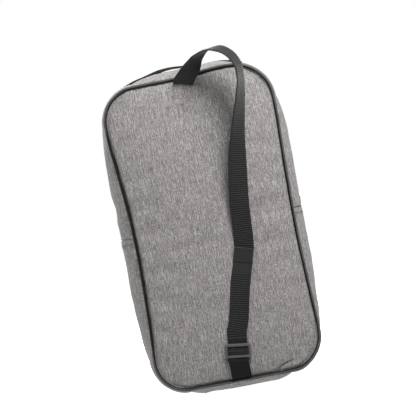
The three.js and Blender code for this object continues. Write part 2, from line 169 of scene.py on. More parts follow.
def spline(points, per_span=24):
    """A centripetal Catmull-Rom curve through the points."""
    points = np.asarray(points, float)
    ends = np.vstack([2 * points[0] - points[1], points, 2 * points[-1] - points[-2]])
    t = np.linspace(0, 1, per_span, endpoint=False)[:, None]
    out = []
    for a, b, c, d in zip(ends[:-3], ends[1:-2], ends[2:-1], ends[3:]):
        ab, bc, cd = (max(np.linalg.norm(q - p), 1e-6) ** 0.5 for p, q in ((a, b), (b, c), (c, d)))
        start = ((b - a) / ab - (c - a) / (ab + bc) + (c - b) / bc) * bc
        stop = ((c - b) / bc - (d - b) / (bc + cd) + (d - c) / cd) * bc
        cubic = 2 * b - 2 * c + start + stop
        square = -3 * b + 3 * c - 2 * start - stop
        out.append(b + start * t + square * t**2 + cubic * t**3)
    return np.vstack([*out, points[-1:]])


# ---- meshes ----


class Mesh:
    """Closed surfaces gathered into one object, with metres of weave on every corner."""

    def __init__(self):
        self.points, self.faces, self.weave, self.count = [], [], [], 0

    def loft(self, rings, across, along, closed=False):
        """A skin through rings of points. Each ring closes on itself; the ends are capped.

        across and along give the weave map: one value a ring, one a point of the ring and
        one more to close it, or both.
        """
        n, size = rings.shape[:2]
        rows = n + 1 if closed else n
        along = np.asarray(along, float)
        along = along[:, None] if along.ndim == 1 else along
        across = np.broadcast_to(across, (rows, size + 1))
        along = np.broadcast_to(along, (rows, size + 1))
        i, k = np.arange(rows - 1)[:, None], np.arange(size)[None]
        corners = [(i, k), (i, k + 1), (i + 1, k + 1), (i + 1, k)]
        faces = [np.stack([a % n * size + b % size for a, b in corners], -1).reshape(-1, 4)]
        weave = [np.stack([m[at] for at in corners for m in (across, along)], -1).reshape(-1, 8)]
        if not closed:
            a = np.arange(size // 2 - 1)
            c = size - 1 - a
            for ring, order in ((0, (a, c, c - 1, a + 1)), (n - 1, (a, a + 1, c - 1, c))):
                faces.append(np.stack(order, 1) + ring * size)
                cap = [m[ring][k % size] for k in order for m in (across, along)]
                weave.append(np.stack(cap, 1))
        self.add(rings.reshape(-1, 3), np.vstack(faces), np.vstack(weave))

    def add(self, points, faces, weave):
        a, b, c, d = (points[faces[:, k]] for k in range(4))
        volume = (a * np.cross(b, c)).sum() + (a * np.cross(c, d)).sum()
        if volume < 0:
            faces = faces[:, ::-1]
            weave = weave.reshape(-1, 4, 2)[:, ::-1].reshape(-1, 8)
        self.points.append(points)
        self.faces.append(faces + self.count)
        self.weave.append(weave)
        self.count += len(points)

    def lay(self, name, surface, body, *nodes, smooth=True, shell=True):
        """Makes the piece, ties it to its body and hides the CAD nodes that it stands for."""
        material, slot = surface
        mesh = bpy.data.meshes.new(name)
        points = np.vstack(self.points)
        points = (settled(points) if shell else points) * MM
        mesh.from_pydata(points.tolist(), [], np.vstack(self.faces).tolist())
        layer = mesh.uv_layers.new(name="weave")
        layer.data.foreach_set("uv", (np.vstack(self.weave) * MM).ravel().astype(np.float32))
        mesh.polygons.foreach_set("use_smooth", [smooth] * len(mesh.polygons))
        mesh.materials.append(material)
        return settle(new_object(name, mesh), slot, body, *nodes)


def new_object(name, data):
    made = bpy.data.objects.new(name, data)
    bpy.context.scene.collection.objects.link(made)
    return made


def settle(obj, slot, body, *replaced):
    """Ties a finished piece to its body, or fixes it where it lies when it is given two bodies, and hides
    the CAD parts it stands for.
    """
    if isinstance(body, str):
        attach(obj, body)
    else:
        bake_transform(obj)
    if replaced:
        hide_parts(*replaced)
    return obj


# ---- materials ----

# The record's slot of each material that isn't named after it.
SLOTS = {"webbing_back": "webbing", "dark_thread": "melange_fabric", "black_thread": "webbing"}


class Paint:
    """A procedural material. Sizes are in millimetres of the weave map."""

    def __init__(self, name, roughness=0.8, **inputs):
        self.slot = SLOTS.get(name, name)
        self.material = bpy.data.materials.new(name)
        self.material.use_nodes = True
        self.tree = self.material.node_tree
        self.shader = self.tree.nodes["Principled BSDF"]
        self.set(self.shader, Roughness=roughness, **inputs)

    def fill(self, socket, value):
        if isinstance(value, bpy.types.NodeSocket):
            self.tree.links.new(value, socket)
        else:
            socket.default_value = value

    def set(self, node, **inputs):
        for key, value in inputs.items():
            self.fill(node.inputs[key.replace("_", " ")], value)
        return node

    def node(self, kind, settings=(), **inputs):
        made = self.tree.nodes.new("ShaderNode" + kind)
        for key, value in dict(settings).items():
            setattr(made, key, value)
        return self.set(made, **inputs)

    def weave(self, across, along, turn=0.0):
        """Coordinates in which one unit is across by along millimetres."""
        where = self.node("UVMap", {"uv_map": "weave"}).outputs["UV"]
        if turn:
            where = self.node("Mapping", Vector=where, Rotation=(0, 0, turn)).outputs["Vector"]
        scale = (1 / (across * MM), 1 / (along * MM), 1)
        return self.node("Mapping", Vector=where, Scale=scale).outputs["Vector"]

    def solid_space(self, size):
        where = self.node("TexCoord").outputs["Object"]
        scale = (1 / (size * MM),) * 3
        return self.node("Mapping", Vector=where, Scale=scale).outputs["Vector"]

    def noise(self, size, detail=2.0, roughness=0.5):
        """Noise of one size in space, or of two sizes across and along the weave."""
        where = self.weave(*size) if isinstance(size, tuple) else self.solid_space(size)
        made = self.node("TexNoise", Vector=where, Scale=1.0, Detail=detail, Roughness=roughness)
        return made.outputs["Fac"]

    def bands(self, across, along, direction, turn=0.0, phase=0.0):
        """Sine bands, one per unit of the weave coordinates, dark at nought."""
        where = self.weave(across, along, turn)
        settings = {"wave_type": "BANDS", "bands_direction": direction}
        made = self.node("TexWave", settings, Vector=where, Scale=math.pi / 10, Phase_Offset=phase)
        return made.outputs["Fac"]

    def crossings(self, pitch):
        """A plain weave, bright where a yarn lies over both ways."""
        return self.math("MULTIPLY", self.bands(pitch, pitch, "X"), self.bands(pitch, pitch, "Y"))

    def math(self, operation, a, b=0.0):
        made = self.node("Math", {"operation": operation})
        self.fill(made.inputs[0], a)
        self.fill(made.inputs[1], b)
        return made.outputs[0]

    def mix(self, terms):
        """A weighted sum of values."""
        total = 0.0
        for value, weight in terms:
            part = self.math("MULTIPLY", value, weight)
            total = part if isinstance(total, float) else self.math("ADD", total, part)
        return total

    def ramp(self, value, stops):
        """A colour that follows a value. A stop is a place, and a colour or a grey level."""
        made = self.node("ValToRGB", Fac=value)
        elements = made.color_ramp.elements
        while len(elements) < len(stops):
            elements.new(0.5)
        for element, (at, colour) in zip(elements, stops):
            element.position = at
            element.color = (*(colour if isinstance(colour, tuple) else grey(colour)), 1)
        return made.outputs["Color"]

    def bump(self, height, distance, strength=1.0, under=None):
        made = self.node("Bump", Height=height, Distance=distance * MM, Strength=strength)
        if under is not None:
            self.set(made, Normal=under)
        return made.outputs["Normal"]

    def finish(self, colour, normal=None, roughness=None):
        """The finished material and its slot."""
        given = {"Base_Color": colour, "Normal": normal, "Roughness": roughness}
        self.set(self.shader, **{key: value for key, value in given.items() if value is not None})
        return self.material, self.slot


def grey(level, warmth=0.0):
    """A linear colour from an sRGB level of 0 to 255, a little redder where it is warm."""
    linear = ((level / 255 + 0.055) / 1.055) ** 2.4
    return (linear * (1 + warmth), linear, linear * (1 - warmth * 0.4))


def crease_shade(paint):
    """Painted shade along a short crease near the lower right corner of the back, bowed upwards."""
    place = paint.node("SeparateXYZ", Vector=paint.weave(1.0, 1.0, -0.33)).outputs
    run = paint.math("DIVIDE", paint.math("SUBTRACT", place["X"], 63.0), 15.0)
    bow = paint.math("MULTIPLY", run, run)
    gap = paint.math("ADD", paint.math("SUBTRACT", place["Y"], 5.4), paint.math("MULTIPLY", bow, 2.2))
    line = paint.math("POWER", 0.4, paint.math("MULTIPLY", gap, gap))
    return paint.math("MULTIPLY", line, paint.math("MAXIMUM", paint.math("SUBTRACT", 1.0, bow), 0.0))


def melange_cloth():
    """Heather-grey polyester: pale and dark yarns run in short streaks through a fine weave."""
    paint = Paint("melange_fabric", 0.92, Sheen_Weight=0.15, Sheen_Roughness=0.5)
    threads = paint.noise((1.3, 22.0))
    streaks = paint.noise((1.05, 6.5), 3.0, 0.6)
    flecks = paint.noise((0.85, 2.4))
    patches = paint.noise((14.0, 26.0))
    # painted shade along the crease near the lower right corner of the back
    mark = crease_shade(paint)
    tone = paint.mix([(threads, 0.25), (streaks, 0.35), (flecks, 0.36), (patches, 0.04), (mark, -0.17)])
    dark, mid, pale = grey(58, 0.05), grey(142, 0.055), grey(218, 0.045)
    colour = paint.ramp(tone, [(0.32, dark), (0.50, mid), (0.685, pale)])
    weave = paint.bump(paint.crossings(0.55), 0.12, 0.6)
    return paint.finish(colour, paint.bump(tone, 0.5, 0.35, weave))


def webbing_cloth():
    """Polyester webbing: raised bars across its face, and a smoother, darker reverse."""
    level = 21
    paint = Paint("webbing", 0.62, Sheen_Weight=0.5, Sheen_Roughness=0.4, Specular_IOR_Level=0.25)
    reach = paint.node("SeparateXYZ", Vector=paint.weave(1.0, 1.0)).outputs["X"]
    reverse = paint.math("GREATER_THAN", reach, REVERSE_AT / 2)
    face = paint.math("SUBTRACT", 1.0, reverse)
    ribs = paint.math("MULTIPLY", paint.bands(1.0, RIB_PITCH, "Y", phase=math.pi), face)
    twill = paint.math("MULTIPLY", paint.bands(1.3, 1.3, "X", math.radians(28)), reverse)
    yarns = paint.bands(0.62, 0.62, "X")
    fuzz = paint.noise((0.5, 1.6), 3.0, 0.6)
    knots = paint.math("MULTIPLY", ribs, paint.noise((2.2, 2.8), 1.0, 0.5))
    tone = paint.mix([(ribs, 0.3), (knots, 0.9), (twill, 0.4), (reverse, 0.36), (fuzz, 0.26)])
    stops = [(0.25, level * 0.3), (0.5, level * 0.9), (0.95, level * 2.8)]
    height = paint.mix([(yarns, 0.4), (fuzz, 0.4), (twill, 0.5)])
    return paint.finish(paint.ramp(tone, stops), paint.bump(height, 0.18, 0.7))


def plain_weave(name, level, pitch=0.6, roughness=0.8, sheen=0.1, specular=0.5):
    """A plain-woven cloth of one dark colour."""
    paint = Paint(name, roughness, Sheen_Weight=sheen, Specular_IOR_Level=specular)
    yarns = paint.crossings(pitch)
    slub = paint.noise((1.2, 5.0))
    tone = paint.mix([(yarns, 0.3), (slub, 0.7)])
    stops = [(0.2, level * 0.75), (0.8, level * 1.25)]
    return paint.finish(paint.ramp(tone, stops), paint.bump(yarns, 0.15, 0.6))


def zip_tape_cloth():
    """Herringbone tape: two slants of fine yarn that meet in narrow stripes."""
    paint = Paint("zip_tape", 0.85)
    left = paint.bands(0.7, 0.7, "X", math.radians(38))
    right = paint.bands(0.7, 0.7, "X", math.radians(-38))
    stripe = paint.math("GREATER_THAN", paint.bands(2.6, 2.6, "X"), 0.5)
    yarn = paint.mix([(left, stripe), (right, paint.math("SUBTRACT", 1.0, stripe))])
    colour = paint.ramp(yarn, [(0.0, 24), (1.0, 46)])
    return paint.finish(colour, paint.bump(yarn, 0.12, 0.6))


def piping_cover():
    """Coated tape drawn over a cord, softly glossy, with painted shade that turns it black where it goes
    into the seam.
    """
    paint = Paint("piping", 0.5, Specular_IOR_Level=0.3)
    grain = paint.noise(0.8, 3.0, 0.6)
    wear = paint.noise(9.0)
    tone = paint.mix([(grain, 0.5), (wear, 0.5)])
    round_it = paint.node("SeparateXYZ", Vector=paint.weave(1.0, 1.0)).outputs["X"]
    # painted shade: the side of the tube that turns into the seam, and its flange, are darkened towards
    # black
    seam_shade = paint.node("MapRange", Value=round_it, From_Min=6.8, From_Max=7.8).outputs["Result"]
    shade = paint.math("SUBTRACT", tone, paint.math("MULTIPLY", seam_shade, 0.75))
    stops = [(0.0, 12), (0.3, 72), (0.7, 98)]
    return paint.finish(paint.ramp(shade, stops), paint.bump(grain, 0.12, 0.5))


def moulded_resin(name, level, roughness=0.42):
    """Moulded resin: a faint orange-peel surface with fine scuffs."""
    paint = Paint(name, roughness, Specular_IOR_Level=0.5)
    peel = paint.noise(0.9)
    scuffs = paint.noise(3.5, 4.0, 0.65)
    colour = paint.ramp(scuffs, [(0.3, level * 0.9), (0.75, level * 1.12)])
    gloss = paint.ramp(scuffs, [(0.3, (roughness - 0.08,) * 3), (0.8, (roughness + 0.14,) * 3)])
    return paint.finish(colour, paint.bump(peel, 0.06, 0.5), gloss)


def gunmetal():
    """Plated die-cast metal, clouded a little darker and lighter, with fine tumbling marks."""
    paint = Paint("zip_metal", 0.34, Metallic=0.85)
    marks = paint.noise(0.7, 4.0, 0.7)
    cloud = paint.noise(4.0)
    colour = paint.ramp(cloud, [(0.3, 92), (0.7, 128)])
    gloss = paint.ramp(marks, [(0.3, (0.26,) * 3), (0.7, (0.46,) * 3)])
    return paint.finish(colour, paint.bump(marks, 0.03, 0.4), gloss)


def thread_fibre(name, level):
    """Sewing thread: twisted plies that catch the light along each stitch."""
    paint = Paint(name, 0.55, Sheen_Weight=0.2)
    plies = paint.noise(0.5)
    colour = paint.ramp(plies, [(0.35, level * 0.8), (0.65, level * 1.2)])
    return paint.finish(colour, paint.bump(plies, 0.05, 0.5))


MELANGE = melange_cloth()
WEBBING = webbing_cloth()
SMOOTH_WEBBING = plain_weave("webbing_back", 15, 0.5, 0.8, 0.02, 0.3)
LINING_CLOTH = plain_weave("lining", 56, 0.6, 0.6, 0.2)
BINDING = plain_weave("binding_tape", 34, 0.8)
ZIP_TAPE = zip_tape_cloth()
PIPING = piping_cover()
RESIN = moulded_resin("buckle_resin", 90)
TEETH = moulded_resin("zip_teeth", 40, 0.32)
METAL = gunmetal()
THREAD = thread_fibre("dark_thread", 66)
BLACK_THREAD = thread_fibre("black_thread", 26)

# ---- camera, light and floor ----

AMBIENT = 0.35            # how much of the white surround lights the bag
LIT_AT = (0, 0, 0.21)     # what every light faces
CAMERA_REACH = 3.0        # from the camera to the back panel's seam
VIEW_WIDTH = 0.53         # what the frame takes in at that distance
ROLL = math.radians(11.0)
AIM = (-0.0001, 0.2347)   # x and z at the middle of the frame


def place(name, data, at, toward, roll=0.0):
    """Puts a camera or a light at a point, looking at another."""
    back = (Vector(at) - Vector(toward)).normalized()
    turn = back.to_track_quat("Z", "Y").to_matrix().to_4x4()
    placed = new_object(name, data)
    placed.matrix_world = Matrix.Translation(at) @ turn @ Matrix.Rotation(roll, 4, "Z")
    return placed


def make_camera():
    data = bpy.data.cameras.new("camera")
    data.sensor_width = 36.0
    data.lens = data.sensor_width * CAMERA_REACH / VIEW_WIDTH
    data.clip_start, data.clip_end = 0.05, 60.0
    seam_y = -HALF_DEPTH * MM
    stand, aim = (AIM[0], seam_y - CAMERA_REACH, AIM[1]), (AIM[0], seam_y, AIM[1])
    bpy.context.scene.camera = place("camera", data, stand, aim, -ROLL)


def area_light(name, direction, distance, spread, power):
    """A round soft light. spread is its width over its distance; power is at one metre."""
    data = bpy.data.lights.new(name, "AREA")
    data.shape = "DISK"
    data.size = spread * distance
    data.energy = power * distance**2
    at = np.array(LIT_AT) + unit(np.array(direction, float)) * distance
    place(name, data, tuple(at), LIT_AT)


def make_world():
    """A white surround. It lights the bag more softly than the camera sees it."""
    world = bpy.data.worlds.new("studio")
    world.use_nodes = True
    tree = world.node_tree
    background = tree.nodes["Background"]
    background.inputs["Color"].default_value = (1, 1, 1, 1)
    path = tree.nodes.new("ShaderNodeLightPath")
    strength = tree.nodes.new("ShaderNodeMapRange")
    strength.inputs["To Min"].default_value = AMBIENT
    strength.inputs["To Max"].default_value = 1.0
    tree.links.new(path.outputs["Is Camera Ray"], strength.inputs["Value"])
    tree.links.new(strength.outputs["Result"], background.inputs["Strength"])
    bpy.context.scene.world = world


def make_floor():
    paint = Paint("pale_floor", 1.0, Emission_Color=(1, 1, 1, 1), Emission_Strength=0.85)
    speckle = paint.noise(30.0)
    colour = paint.ramp(speckle, [(0.3, 249), (0.7, 252)])
    mesh = bpy.data.meshes.new("floor")
    reach = 12.0
    corners = [(-reach, -reach, 0), (reach, -reach, 0), (reach, reach, 0), (-reach, reach, 0)]
    mesh.from_pydata(corners, [], [(0, 1, 2, 3)])
    mesh.materials.append(paint.finish(colour)[0])
    floor = new_object("floor", mesh)
    floor.visible_diffuse = False
    floor.visible_glossy = False
    floor.visible_shadow = False


def make_studio():
    bpy.context.scene.view_settings.view_transform = "Standard"
    make_world()
    make_floor()
    area_light("key", (0.4, -0.53, 0.75), 1.2, 0.4, 9.9)
    area_light("floor_glow", (0.1, -0.12, -0.99), 1.3, 0.8, 3.2)
    area_light("left_fill", (-0.92, -0.3, 0.25), 2.0, 0.7, 3.0)
    area_light("front_soft", (-0.35, 0.85, 0.5), 2.2, 0.6, 6.0)


make_camera()
make_studio()

# ---- webbing: flat ribbons with ribs across them ----


def stitches(target, line, normals, pitch=3.6, length=2.8, radius=0.3, lift=0.25):
    """Separate stitches of thread along a line, each dipping into the cloth at its ends."""
    s = run_length(line)
    t = np.linspace(0, 1, 6)
    angle = np.linspace(0, 2 * np.pi, 6, endpoint=False)
    for start in np.arange(0.5, s[-1] - length, pitch):
        at = start + t * length
        centre = rows_at(at, s, line)
        up = unit(rows_at(at, s, normals))
        along = unit(np.gradient(centre, axis=0))
        side = np.cross(along, up)
        rise = (lift + radius) * np.sin(np.pi * t) ** 0.6 - radius
        size = radius * (0.55 + 0.45 * np.sin(np.pi * t))
        ring = side[:, None] * np.cos(angle)[:, None] + up[:, None] * np.sin(angle)[:, None]
        rings = (centre + up * rise[:, None])[:, None] + ring * size[:, None, None]
        target.loft(rings, np.linspace(0, 6.3 * radius, 7), at)


def ribbon(target, route, across, step=0.4, thick=WEB_THICK, rib=0.36, extra=None, phase=0.0):
    """Sweeps a webbing section along a route. across is the width's direction at each point.

    extra gives more thickness on the outside, and how far the ribs are flattened, by distance.
    """
    s = run_length(route)
    count = max(int(round(s[-1] / step)), 2)
    at = np.linspace(0, s[-1], count + 1)
    centre, wide = rows_at(at, s, route), rows_at(at, s, across)
    along = unit(np.gradient(centre, axis=0))
    wide = unit(wide - (wide * along).sum(1, keepdims=True) * along)
    out = np.cross(along, wide)
    share = np.array([-1, -0.985, -0.94, -0.8, -0.55, -0.28, 0, 0.28, 0.55, 0.8, 0.94, 0.985, 1])
    edge = np.array([0.25, 0.62, 0.92, 1, 1, 1, 1, 1, 1, 1, 0.92, 0.62, 0.25])
    ribbed = np.array([0, 0, 0.35, 1, 1, 1, 1, 1, 1, 1, 0.35, 0, 0])
    wave = 0.5 + 0.5 * np.cos(2 * math.pi * (at + phase) / RIB_PITCH)
    more, flat = extra(at) if extra else (np.zeros_like(at), np.zeros_like(at))
    top = edge * thick / 2 + (wave * (1 - flat))[:, None] * ribbed * rib + more[:, None] * edge
    foot = -edge * thick / 2 - ((1 - wave) * (1 - flat))[:, None] * ribbed * rib * 0.2
    wander = 0.12 * soft_noise(at / 9, 0 * at, 3)
    sides = (WEB_HALF + wander)[:, None] * share
    reach = np.hstack([sides, sides[:, ::-1]])[..., None]
    height = np.hstack([top, foot[:, ::-1]])[..., None]
    rings = centre[:, None] + wide[:, None] * reach + out[:, None] * height
    girth = np.r_[WEB_HALF * share, REVERSE_AT - WEB_HALF * share[::-1], REVERSE_AT * 1.5]
    plain = np.where(flat > 0.3, REVERSE_AT, 0)[:, None]
    target.loft(rings, girth + plain, at + phase)
    return {"at": at, "centre": centre, "wide": wide, "out": out, "lift": thick / 2 + more + 0.2}


def sewn(target, laid, *marks):
    """Rows of stitches on a ribbon's face. A mark is two points: distance along it, and across."""
    for (from_at, from_side), (to_at, to_side) in marks:
        share = np.linspace(0, 1, 24)
        at = from_at + (to_at - from_at) * share
        side = (from_side + (to_side - from_side) * share)[:, None]
        centre, wide, out = (rows_at(at, laid["at"], laid[part]) for part in ("centre", "wide", "out"))
        lift = np.interp(at, laid["at"], laid["lift"])[:, None]
        stitches(target, centre + wide * side + out * lift, out)


# The strap's route over the back, from the top seam to the buckle: a point, then the width.
STRAP_ROUTE = [
    (-0.0011, -0.0577, 0.3988, 1, 0, 0),
    (-0.0011, -0.0583, 0.3972, 0.98, 0, -0.17),
    (-0.0011, -0.0602, 0.3956, 0.94, 0, -0.34),
    (-0.0009, -0.0622, 0.3974, 0.94, 0, -0.34),
    (0.0025, -0.0655, 0.4014, 0.94, 0.1, -0.33),
    (0.0127, -0.0735, 0.4123, 0.64, 0.54, -0.55),
    (0.0227, -0.0805, 0.4243, 0.27, 0.91, -0.32),
    (0.0355, -0.0890, 0.4308, 0, 1, 0),
    (0.0509, -0.0945, 0.4293, 0.14, 0.92, 0.36),
    (0.0636, -0.0980, 0.4197, 0.35, 0.89, 0.29),
    (0.0708, -0.0990, 0.4052, 0.43, 0.9, 0.11),
    (0.0714, -0.0972, 0.3890, 0.38, 0.92, -0.03),
    (0.0686, -0.0936, 0.3738, 0.43, 0.9, -0.09),
    (0.0655, -0.0895, 0.3607, 0.49, 0.86, -0.13),
    (0.0610, -0.0870, 0.3446, 0.59, 0.79, -0.16),
    (0.0534, -0.0825, 0.3142, 0.75, 0.64, -0.18),
    (0.0496, -0.0805, 0.2969, 0.88, 0.46, -0.16),
    (0.0433, -0.0775, 0.2583, 0.97, 0.2, -0.15),
    (0.0395, -0.0755, 0.2294, 0.99, 0, -0.11),
    (0.0383, -0.0730, 0.2116, 1, 0, -0.08),
    (0.0355, -0.0692, 0.1785, 0.99, 0, -0.15),
    (0.0301, -0.0676, 0.1589, 0.96, 0, -0.28),
    (0.0215, -0.0670, 0.1308, 0.97, 0, -0.26),
    (0.0110, -0.0651, 0.0874, 0.97, 0, -0.23),
]
HEM_END = (0.0350, -0.0711, 0.1765, 0.99, 0, -0.15)
TAIL_DEPTH = 0.0019       # how far the tail lies over the strap

BUCKLE_ORIGIN = np.array([1.1, -62.5, 36.0])
BUCKLE_LEAN, BUCKLE_PITCH = math.radians(7.5), math.radians(11.0)
BUCKLE_BARS = (0.0, 6.8, 13.6, 21.3)
WRAP_RADIUS = 2.7
WRAP_STEPS = 10


def buckle_axes():
    """The buckle's own directions: across it, towards the panel, and up the strap."""
    lean, pitch = BUCKLE_LEAN, BUCKLE_PITCH
    across = np.array([math.cos(lean), 0, -math.sin(lean)])
    up = np.array([math.sin(lean) * math.cos(pitch), -math.sin(pitch), math.cos(lean) * math.cos(pitch)])
    return across, np.cross(up, across), up


def on_buckle(depth, length):
    _, inward, up = buckle_axes()
    return BUCKLE_ORIGIN + inward * depth + up * length


def buckle_rows(*places):
    """Rows of a route near the buckle, each from a depth and a length on it."""
    across = buckle_axes()[0]
    return [(*(on_buckle(depth, length) * MM), *across) for depth, length in places]


def smooth_route(rows):
    rows = np.array(rows, float)
    return spline(np.hstack([rows[:, :3] / MM, rows[:, 3:]]))


def make_strap():
    route = smooth_route([*STRAP_ROUTE, *buckle_rows((5.3, 38), (4.7, 29))])
    strap = Mesh()
    centre = ribbon(strap, route[:, :3], route[:, 3:])["centre"]
    return strap.lay("strap_webbing", WEBBING, BUCKLE_BEND, "shoulder_strap", shell=False), centre


def make_tail():
    lying = np.array(STRAP_ROUTE[-3:])[::-1].copy()
    lying[:, 1] -= TAIL_DEPTH
    route = smooth_route([*buckle_rows((2.8, 29), (3.5, 38)), *lying.tolist(), HEM_END])
    length = run_length(route[:, :3])[-1]

    def hem(at):
        fold = ease((at - length + 19) / 1.2)
        plain = ease((at - length + 34) / 3)
        return fold * 0.8, 0.35 * plain + 0.55 * fold

    tail = Mesh()
    laid = ribbon(tail, route[:, :3], -route[:, 3:], extra=hem, phase=1.1)
    rows = Mesh()
    sewn(rows, laid, *(((at, -10.5), (at, 10.5)) for at in (length - 2.4, length - 16.5)))
    rows.lay("hem_stitching", BLACK_THREAD, "bag", shell=False)
    return tail.lay("strap_tail_webbing", WEBBING, BUCKLE_BEND, "strap_tail", shell=False)


def buckle_wrap(bar, over):
    """Half a turn round a bar. over is how far it reaches past the bar's middle."""
    t = np.linspace(0, np.pi, WRAP_STEPS + 1)
    return [(WRAP_RADIUS * math.cos(a), bar + over * math.sin(a)) for a in t]


def make_strap_fold():
    legs = [
        (4.7, 30), (4.9, 25), (5.2, 20.5), (4.4, 17),
        *((depth + 0.9, length) for depth, length in buckle_wrap(BUCKLE_BARS[2], -4.2)),
        (-1.4, 15.6), (0.6, 17.8), (2.7, 20.2), (2.8, 23), (2.8, 30),
    ]
    points = spline([on_buckle(depth, length) for depth, length in legs], 8)
    across = np.repeat(-buckle_axes()[0][None], len(points), axis=0)
    fold = Mesh()
    ribbon(fold, points, across)
    return fold.lay("strap_fold_webbing", WEBBING, "buckle", "strap_fold", shell=False)


strap, strap_line = make_strap()
tail = make_tail()
strap_fold = make_strap_fold()

# ---- the seam line, and the shapes of panels and side strips ----


def side_stations(z):
    """Points of the seam line up a side: x, z, its outward normal, and the swell there."""
    turn = np.pi * (z - CENTRE_Z) / (2 * SIDE_HALF)
    slope = WAIST * np.pi / (2 * SIDE_HALF) * np.sin(2 * turn)
    length = np.hypot(1, slope)
    bulge = swell((z - CENTRE_Z) / SIDE_HALF, BULGE_SIDE)
    return np.stack([seam_half_width(z), z, 1 / length, -slope / length, bulge], 1)


def seam_half_width(z):
    turn = np.pi * np.clip(z - CENTRE_Z, -SIDE_HALF, SIDE_HALF) / (2 * SIDE_HALF)
    return SEAM_HALF_WIDTH - WAIST * np.cos(turn) ** 2


def swell(share, most):
    return BULGE_CORNER + (most - BULGE_CORNER) * (1 - share**4)


def half_loop(up, start, fine=9.0, step=3.0):
    """The seam line from the right side, over the top or under the base, to the left.

    Its points lie close together for the first few millimetres, where strips are lapped.
    """
    reach = SIDE_HALF - up * (start - CENTRE_Z)
    near = np.arange(0, fine, 0.6)
    far = np.linspace(fine, reach, int((reach - fine) / step) + 2)
    side = side_stations(start + up * np.r_[near, far])
    angle = np.linspace(0, np.pi / 2, int(CORNER_RADIUS * math.pi / 2 / step) + 2)[1:]
    nx, nz = np.cos(angle), up * np.sin(angle)
    corner_z = CENTRE_Z + up * SIDE_HALF + CORNER_RADIUS * nz
    corner_x = END_HALF + CORNER_RADIUS * nx
    corner = np.stack([corner_x, corner_z, nx, nz, 0 * nx + BULGE_CORNER], 1)
    x = np.linspace(END_HALF, 0, int(END_HALF / step) + 2)[1:]
    bulge = swell(x / END_HALF, BULGE_TOP if up > 0 else BULGE_BASE)
    end_z = 0 * x + CENTRE_Z + up * SEAM_HALF_HEIGHT
    end = np.stack([x, end_z, 0 * x, 0 * x + up, bulge], 1)
    right = np.vstack([side, corner, end])
    left = right[:-1][::-1] * np.array([-1, 1, -1, 1, 1])
    return np.vstack([right, left])


def full_loop(step=3.0):
    top = half_loop(1, CENTRE_Z, step, step)
    base = half_loop(-1, CENTRE_Z, step, step)[::-1]
    return np.vstack([top, base[1:-1]])


def off_seam(loop, out):
    """x and z of points that lie out from the seam line, along its normals."""
    return loop[:, 0:1] + loop[:, 2:3] * out, loop[:, 1:2] + loop[:, 3:4] * out


def gusset_points(loop, y, height):
    """Points of the side strips, height above the plain swell, never under the floor."""
    y, height = np.broadcast_arrays(y, height)
    swell_share = 1 - np.abs(y / HALF_DEPTH) ** SWELL_POWER
    x, z = off_seam(loop, loop[:, 4:5] * swell_share + height)
    z = np.maximum(z, np.maximum(-height, 0))
    return np.stack(np.broadcast_arrays(x, y, z), -1)


def past_straights(x, z):
    """How far a point of a panel lies past the straight sides and ends."""
    waist = SEAM_HALF_WIDTH - seam_half_width(z)
    return np.abs(x) + waist - END_HALF, np.abs(z - CENTRE_Z) - SIDE_HALF


def seam_inset(x, z):
    """How far a point of a panel lies inside the seam line."""
    qx, qz = past_straights(x, z)
    outside = np.hypot(np.maximum(qx, 0), np.maximum(qz, 0))
    return CORNER_RADIUS - outside - np.minimum(np.maximum(qx, qz), 0)


def seam_run(x, z):
    """Distance round the seam line to the place nearest a point of a panel."""
    qx, qz = (np.maximum(q, 0) for q in past_straights(x, z))
    run = np.minimum(np.abs(z - CENTRE_Z), SIDE_HALF) + CORNER_RADIUS * np.arctan2(qz, qx)
    run = run + END_HALF - np.minimum(np.abs(x), END_HALF)
    high, right = z >= CENTRE_Z, x >= 0
    upper = np.where(right, run, PERIMETER / 2 - run)
    lower = np.where(right, PERIMETER - run, PERIMETER / 2 + run)
    return np.where(high, upper, lower)


def panel_half(z, past, inset):
    """Half a panel's width at a height, that far past its straight sides and inside its seam."""
    curved = END_HALF + np.sqrt(np.maximum((CORNER_RADIUS - inset) ** 2 - past**2, 0))
    return np.where(past > 0, curved, seam_half_width(z) - inset)


def panel_grid(level, inset=1.6):
    """Rows of x and z over a panel, out to its edge. A higher level is a finer grid."""
    turn = np.linspace(0, np.pi / 2, 7 * level + 1)[1:]
    corner = SIDE_HALF + (CORNER_RADIUS - inset) * np.sin(turn)
    side = np.linspace(-SIDE_HALF, SIDE_HALF, 62 * level + 1)
    z = np.r_[-corner[::-1], side, corner]
    past = np.maximum(np.abs(z) - SIDE_HALF, 0)
    z = z + CENTRE_Z
    across = np.linspace(-1, 1, 42 * level + 1)
    return panel_half(z, past, inset)[:, None] * across, np.repeat(z[:, None], len(across), axis=1)


def crown(x, z):
    """How far a stuffed panel stands proud of its seam."""
    past = np.maximum(np.abs(z - CENTRE_Z) - SIDE_HALF, 0)
    across = np.minimum(np.abs(x) / panel_half(z, past, 3), 1)
    along = np.minimum(np.abs(z - CENTRE_Z) / (SEAM_HALF_HEIGHT - 3), 1)
    return CROWN * (1 - across**2.4) * (1 - along**2.6)


def doubled(grid):
    """The same field on a grid twice as fine, through cubic midpoints."""
    for _ in range(2):
        ends = np.vstack([2 * grid[0] - grid[1], grid, 2 * grid[-1] - grid[-2]])
        middle = (9 * (ends[1:-2] + ends[2:-1]) - ends[:-3] - ends[3:]) / 16
        out = np.empty((2 * len(grid) - 1, grid.shape[1]))
        out[0::2], out[1::2] = grid, middle
        grid = out.T
    return grid


CLOTH = {
    "quality": 6, "mass": 0.3, "vertex_group_mass": "seam", "shrink_min": -0.012,
    "tension_stiffness": 12, "compression_stiffness": 12, "shear_stiffness": 6,
    "bending_stiffness": 3, "use_pressure": True, "uniform_pressure_force": 4,
}
STUFFING_FRAMES = 20
STUFFING_SHARE = 0.6      # how much of the simulated lumps the foam lets through


